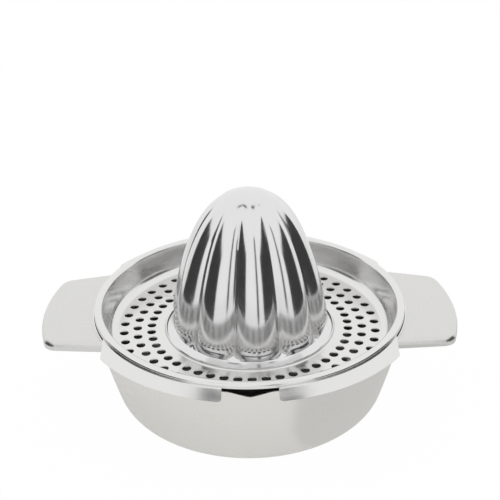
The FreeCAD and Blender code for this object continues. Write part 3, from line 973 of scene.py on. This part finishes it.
@dataclass
class Reamer:
    """Hollow fluted dome on a flared foot, with a flange under the plate."""

    gauge: float = 0.6
    plate_height: float = 42.5
    base_radius: float = 45.75
    height: float = 84.1
    crown_power: float = 1.454
    flank_power: float = 2.44
    ribs: int = 10
    rib_phase: float = 24.0
    valley_ratio: float = 0.885
    foot_radius: float = 47.4
    foot_rise: float = 0.6
    foot_flare: float = 1.8
    toe_start: float = 2.4
    toe_end: float = 12.0
    cap_rise: float = 82.5
    fade_start: float = 0.85
    flange_radius: float = 52.0
    neck_curve: float = 0.5
    neck_steps: int = 3
    columns_per_rib: int = 32
    crown_steps: int = 60
    toe_steps: int = 14
    flare_steps: int = 8
    sharp_angle: float = 50.0
    finish: Steel = REAMER_STEEL

    def dome(self, rise: float) -> float:
        """Radius of the smooth dome that the ribs' crests lie on.

        Args:
            rise: Height above the strainer's plate.

        Returns:
            The radius, in millimetres.
        """
        left = max(1.0 - (rise / self.height) ** self.crown_power, 0.0)
        return self.base_radius * left ** (1.0 / self.flank_power)

    def valley(self, rise: float) -> float:
        """Radius of the valleys between ribs.

        Args:
            rise: Height above the strainer's plate.

        Returns:
            The radius, in millimetres.
        """
        near_cap = (rise / self.cap_rise - self.fade_start) / (1.0 - self.fade_start)
        near_cap = min(max(0.0, near_cap), 1.0)
        ratio = self.valley_ratio + (1.0 - self.valley_ratio) * near_cap**2
        flare = self.foot_radius - self.valley_ratio * self.dome(self.foot_rise)
        fade = math.exp(-(rise - self.foot_rise) / self.foot_flare)
        return ratio * self.dome(rise) + flare * fade

    def crest(self, rise: float) -> float:
        """Radius of the ribs' crests, with a rounded toe on the foot.

        Args:
            rise: Height above the strainer's plate.

        Returns:
            The radius, in millimetres.
        """
        share = min(max((rise - self.toe_start) / (self.toe_end - self.toe_start), 0.0), 1.0)
        valley = self.valley(rise)
        return valley + (self.dome(rise) - valley) * math.sqrt(1.0 - (1.0 - share) ** 2)

    def radius(self, rise: float, angle: float) -> float:
        """Radius of the fluted dome.

        Args:
            rise: Height above the strainer's plate.
            angle: Heading about the axis, in radians.

        Returns:
            The radius, in millimetres.
        """
        valley, crest = self.valley(rise), self.crest(rise)
        pitch = 2.0 * math.pi / self.ribs
        from_crest = (angle - math.radians(self.rib_phase) + pitch / 2.0) % pitch - pitch / 2.0
        half = pitch / 2.0
        centre = (crest**2 - valley**2) / (2.0 * (crest - valley * math.cos(half)))
        lobe = crest - centre
        inside = max(lobe**2 - (centre * math.sin(from_crest)) ** 2, 0.0)
        return centre * math.cos(from_crest) + math.sqrt(inside)

    def rises(self) -> list[float]:
        """Rises of the rows of the dome, from its top down to its foot."""
        rows = []
        for step in range(self.crown_steps + 1):
            turn = math.pi / 2.0 * (1.0 - step / self.crown_steps)
            rise = self.height * math.sin(turn) ** (2.0 / self.crown_power)
            if rise > self.toe_end:
                rows.append(rise)
        for step in range(self.toe_steps + 1):
            turn = math.pi / 2.0 * (1.0 - step / self.toe_steps)
            rows.append(self.toe_end - (self.toe_end - self.toe_start) * math.cos(turn))
        drop = self.foot_rise - self.toe_start
        for step in range(1, self.flare_steps + 1):
            rows.append(self.toe_start + drop * step / self.flare_steps)
        return rows

    def build(self) -> bpy.types.Object:
        """Make the reamer.

        Returns:
            The reamer's object, riding on its body.
        """
        rises = self.rises()
        under = self.plate_height - self.gauge
        profile = [(self.dome(rise), self.plate_height + rise) for rise in rises]
        foot = (self.foot_radius, self.plate_height + self.foot_rise)
        neck = (self.foot_radius, under + self.neck_curve)
        turn = (self.foot_radius + self.neck_curve, under)
        profile[-1] = foot
        profile += line(foot, neck, 1)
        profile += arc(neck, turn, self.neck_curve, 1, self.neck_steps)
        profile += line(turn, (self.flange_radius, under), 2)
        mesh = spun(profile, self.ribs * self.columns_per_rib)
        for vert in mesh.verts:
            x, y, z = vert.co
            if z < foot[1] + SAME_PLACE or math.hypot(x, y) < SAME_PLACE:
                continue
            angle = math.atan2(y, x)
            radius = self.radius(z - self.plate_height, angle)
            vert.co = (radius * math.cos(angle), radius * math.sin(angle), z)
        face_outwards(mesh, Vector((0.0, 0.0, self.plate_height + 2.0 * self.height)))
        thicken(mesh, self.gauge)
        thing = make_object("reamer_pressing", mesh)
        smooth(thing, self.sharp_angle)
        thing.data.materials.append(self.finish.build())
        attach(thing, "strainer")
        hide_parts("reamer")
        return thing


@dataclass
class Studio:
    """Floor, plain surroundings, reflection cards and camera, in metres."""

    camera_place: Place = (0.0007, -0.5284, 0.3579)
    camera_pitch: float = 26.8
    camera_roll: float = 0.7
    camera_lens: float = 76.4
    camera_sensor: float = 36.0
    camera_near: float = 0.01
    floor_height: float = -0.0002
    floor_reach: float = 3.0
    floor_tone: float = 0.85
    white_seen: float = 0.98
    white_mirrored: float = 0.4
    card_foot: float = 0.001
    side_shade: float = 0.05
    side_reach: float = 0.6
    side_top: float = 0.42
    side_foot: float = 0.30
    side_back: float = 0.15
    ground_back: float = 0.08
    left_front: float = -0.7
    right_front: float = -0.72
    slit_ends: tuple[Point, Point] = ((0.11, -0.585), (0.19, -0.565))
    slit_top: float = 0.6
    # Grey card on the floor to the right of the bowl: a painted shadow of the bowl, seen only in
    # reflections in the metal
    shadow_card_shade: float = 0.66
    shadow_card_corners: tuple[Point, ...] = ((0.03, -0.085), (0.12, -0.22), (0.24, 0.1), (0.08, 0.1))
    overhead_shade: float = 0.1
    overhead_height: float = 0.9
    overhead_across: Point = (0.09, 0.22)
    overhead_along: Point = (0.03, 0.16)

    def add_camera(self) -> None:
        """Set the camera at the photograph's place."""
        data = bpy.data.cameras.new("camera")
        data.lens = self.camera_lens
        data.sensor_width = self.camera_sensor
        data.clip_start = self.camera_near
        thing = bpy.data.objects.new("camera", data)
        bpy.context.scene.collection.objects.link(thing)
        pitch = math.radians(self.camera_pitch)
        roll = math.radians(self.camera_roll)
        right = Vector((1.0, 0.0, 0.0))
        upward = Vector((0.0, math.sin(pitch), math.cos(pitch)))
        back = Vector((0.0, -math.cos(pitch), math.sin(pitch)))
        rolled_right = right * math.cos(roll) - upward * math.sin(roll)
        rolled_up = right * math.sin(roll) + upward * math.cos(roll)
        turn = Matrix((rolled_right, rolled_up, back)).transposed().to_4x4()
        thing.matrix_world = Matrix.Translation(self.camera_place) @ turn
        bpy.context.scene.camera = thing

    def set_world(self) -> None:
        """Make the surroundings plain white."""
        world = bpy.data.worlds.new("studio")
        world.use_nodes = True
        sky = world.node_tree.nodes["Background"]
        sky.inputs["Color"].default_value = (1.0, 1.0, 1.0, 1.0)
        sky.inputs["Strength"].default_value = 1.0
        bpy.context.scene.world = world

    def plane(self, name: str, corners: Sequence[Place]) -> bpy.types.Object:
        """Flat stage piece.

        Args:
            name: Its name.
            corners: Its corners in order, in metres.

        Returns:
            The object.
        """
        mesh = bmesh.new()
        mesh.faces.new([mesh.verts.new(corner) for corner in corners])
        data = bpy.data.meshes.new(name)
        mesh.to_mesh(data)
        mesh.free()
        thing = bpy.data.objects.new(name, data)
        bpy.context.scene.collection.objects.link(thing)
        return thing

    def add_floor(self) -> None:
        """Lay a pale floor that shows white and keeps a faint shadow."""
        reach, height = self.floor_reach, self.floor_height
        floor = self.plane("floor", [
            (-reach, -reach, height), (reach, -reach, height),
            (reach, reach, height), (-reach, reach, height),
        ])
        material = bpy.data.materials.new("white_floor")
        material.use_nodes = True
        tree = material.node_tree
        nodes, links = tree.nodes, tree.links
        nodes.clear()
        paint = nodes.new("ShaderNodeBsdfDiffuse")
        tone = self.floor_tone
        paint.inputs["Color"].default_value = (tone, tone, tone, 1.0)
        glow = nodes.new("ShaderNodeEmission")
        glow.inputs["Color"].default_value = (1.0, 1.0, 1.0, 1.0)
        path = nodes.new("ShaderNodeLightPath")
        mirrored = calculate(tree, "MULTIPLY", path.outputs["Is Glossy Ray"], self.white_mirrored)
        seen = calculate(tree, "MULTIPLY", path.outputs["Is Camera Ray"], self.white_seen)
        mix = nodes.new("ShaderNodeMixShader")
        links.new(calculate(tree, "MAXIMUM", seen, mirrored), mix.inputs["Fac"])
        links.new(paint.outputs["BSDF"], mix.inputs[1])
        links.new(glow.outputs["Emission"], mix.inputs[2])
        output = nodes.new("ShaderNodeOutputMaterial")
        links.new(mix.outputs["Shader"], output.inputs["Surface"])
        floor.data.materials.append(material)

    def add_card(self, name: str, corners: Sequence[Place], shade: float) -> None:
        """Hang a card that only reflections see.

        Args:
            name: Its name.
            corners: Its corners in order, in metres.
            shade: How bright it shows in the metal.
        """
        card = self.plane(name, corners)
        material = bpy.data.materials.new(name + "_paint")
        material.use_nodes = True
        nodes, links = material.node_tree.nodes, material.node_tree.links
        nodes.clear()
        glow = nodes.new("ShaderNodeEmission")
        glow.inputs["Color"].default_value = (shade, shade, shade, 1.0)
        output = nodes.new("ShaderNodeOutputMaterial")
        links.new(glow.outputs["Emission"], output.inputs["Surface"])
        card.data.materials.append(material)
        card.visible_camera = False
        card.visible_diffuse = False
        card.visible_shadow = False

    def add_cards(self) -> None:
        """Hang the cards at the sides, by the camera, on the floor and overhead."""
        low, top, back = self.card_foot, self.side_top, self.side_back
        for name, way, front in (("left", -1.0, self.left_front), ("right", 1.0, self.right_front)):
            reach, foot = way * self.side_reach, way * self.side_foot
            self.add_card(name + "_card", [
                (reach, front, low), (reach, back, low), (reach, back, top), (reach, front, top),
            ], self.side_shade)
            self.add_card(name + "_ground_card", [
                (reach, front, low), (foot, front / 2.0, low),
                (foot, self.ground_back, low), (reach, back, low),
            ], self.side_shade)
        start, end = self.slit_ends
        self.add_card("slit_card", [
            (*start, 0.0), (*end, 0.0), (*end, self.slit_top), (*start, self.slit_top),
        ], self.side_shade)
        # Painted shadow: a grey card on the floor right of the bowl stands in for the bowl's cast
        # shadow in the metal's reflections
        shadow_corners = [(x, y, low) for x, y in self.shadow_card_corners]
        self.add_card("right_painted_shadow_card", shadow_corners, self.shadow_card_shade)
        front, back = self.overhead_along
        high = self.overhead_height
        for name, way in (("overhead_left", -1.0), ("overhead_right", 1.0)):
            near, far = (way * across for across in self.overhead_across)
            self.add_card(name, [
                (near, front, high), (far, front, high), (far, back, high), (near, back, high),
            ], self.overhead_shade)

    def build(self) -> None:
        """Set up the whole studio."""
        self.set_world()
        self.add_floor()
        self.add_cards()
        self.add_camera()
        bpy.context.scene.view_settings.view_transform = "Standard"


def report(thing: bpy.types.Object) -> None:
    """Log one finished piece.

    Args:
        thing: The piece.
    """
    data = thing.data
    LOG.info("%s: %d vertices, %d faces", thing.name, len(data.vertices), len(data.polygons))


def main() -> None:
    """Load the frame, build every piece and set up the studio."""
    logging.basicConfig(level=logging.INFO, format="%(message)s")
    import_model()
    bowl = Bowl()
    makers: list[Callable[[], bpy.types.Object]] = [
        bowl.build,
        Handle(Side.RIGHT, bowl).build,
        Handle(Side.LEFT, bowl).build,
        Strainer().build,
        Reamer().build,
    ]
    for make in makers:
        report(make())
    Studio().build()


if __name__ == "__main__":
    main()
